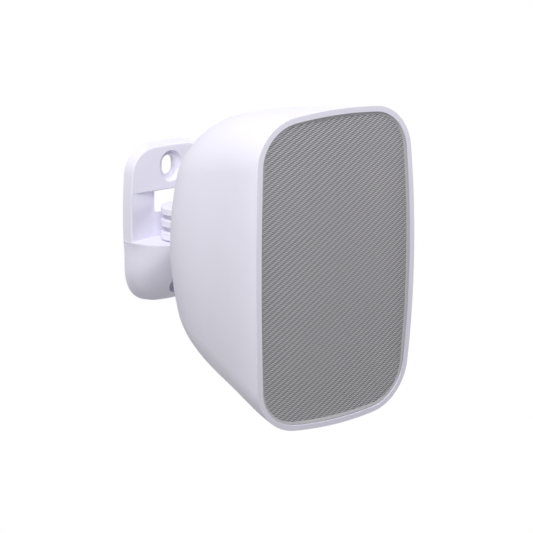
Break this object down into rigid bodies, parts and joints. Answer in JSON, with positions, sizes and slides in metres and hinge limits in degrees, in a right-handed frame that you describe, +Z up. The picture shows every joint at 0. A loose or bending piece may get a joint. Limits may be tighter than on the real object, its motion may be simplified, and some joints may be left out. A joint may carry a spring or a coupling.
{
  "type": "wall speaker",
  "caption": "Wall speaker with a tapered white cabinet, a domed grey grille in a narrow rim and a rounded wall bracket on which it pans and tilts.",
  "frame": {"origin": "on the wall plane, midway between the bracket's two screw slots", "axes": "+Z up, +Y into the wall, so the grille faces -Y; +X to the right of someone facing the grille"},
  "size_m": [0.1188, 0.1895, 0.195],
  "materials": {
    "white_plastic": "satin, faint lilac",
    "grille_grey": "matt, slanting ridges",
    "dark_cloth": "thin acoustic cloth",
    "baffle_board": "moulded, matt black",
    "foam": "closed-cell foam",
    "steel": "zinc plated",
    "arm_plastic": "satin",
    "basket_metal": "black paint",
    "cone_paper": "pressed paper",
    "surround_rubber": "soft",
    "copper": "enamelled wire",
    "ferrite": "ground ferrite",
    "black_plastic": "fine grain",
    "dome_metal": "thin foil",
    "board_green": "coated",
    "capacitor_film": "sleeve",
    "ceramic": "cement",
    "red_plastic": "moulded"
  },
  "bodies": {
    "bracket": {"wall_bracket": "white_plastic", "pivot_spool": "white_plastic", "pivot_bolt": "steel", "pivot_nut": "steel"},
    "arm": {"arm_left": "arm_plastic", "arm_right": "arm_plastic", "arm_screw": "steel", "arm_nut": "steel"},
    "cone": {"woofer_cone": "cone_paper", "woofer_dust_cap": "cone_paper", "voice_coil": "copper"},
    "red_lever": {"terminal_lever_red": "red_plastic"},
    "black_lever": {"terminal_lever_black": "black_plastic"},
    "speaker": {"baffle": "baffle_board", "baffle_gasket": "foam", "baffle_screws": "steel", "board_screws": "steel", "cabinet": "white_plastic", "crossover_board": "board_green", "crossover_capacitors": "capacitor_film", "crossover_coil": "copper", "crossover_resistor": "ceramic", "grille": "grille_grey", "grille_cloth": "dark_cloth", "lever_springs": "steel", "mount_screws": "steel", "rear_mount": "arm_plastic", "terminal_plate": "black_plastic", "terminal_screws": "steel", "tilt_bolt": "steel", "tilt_nut": "steel", "tweeter_dome": "dome_metal", "tweeter_faceplate": "black_plastic", "tweeter_magnet": "ferrite", "tweeter_screws": "steel", "woofer_basket": "basket_metal", "woofer_gasket": "foam", "woofer_magnet": "ferrite", "woofer_screws": "steel", "woofer_spider": "cone_paper", "woofer_surround": "surround_rubber", "woofer_top_plate": "steel", "woofer_yoke": "steel"}
  },
  "joints": [
    {"name": "pan", "type": "hinge", "parent": "bracket", "child": "arm", "pos_m": [0, -0.0167, 0.0021], "axis": [0, 0, 1], "range_deg": [-45, 45]},
    {"name": "tilt", "type": "hinge", "parent": "arm", "child": "speaker", "pos_m": [0, -0.0485, 0.0021], "axis": [1, 0, 0], "range_deg": [-25, 25]},
    {"name": "cone_travel", "type": "slide", "parent": "speaker", "child": "cone", "axis": [0, -1, 0], "range_m": [-0.003, 0.003], "stiffness_N_per_m": 1500, "deforming": ["woofer_surround", "woofer_spider"]},
    {"name": "red_press", "type": "hinge", "parent": "speaker", "child": "red_lever", "pos_m": [-0.007, -0.0645, 0.0392], "axis": [-1, 0, 0], "range_deg": [0, 12], "stiffness_Nm_per_rad": 0.05, "springref_deg": -17.19, "deforming": ["lever_springs"]},
    {"name": "black_press", "type": "hinge", "parent": "speaker", "child": "black_lever", "pos_m": [0.007, -0.0645, 0.0392], "axis": [-1, 0, 0], "range_deg": [0, 12], "stiffness_Nm_per_rad": 0.05, "springref_deg": -17.19, "deforming": ["lever_springs"]}
  ]
}
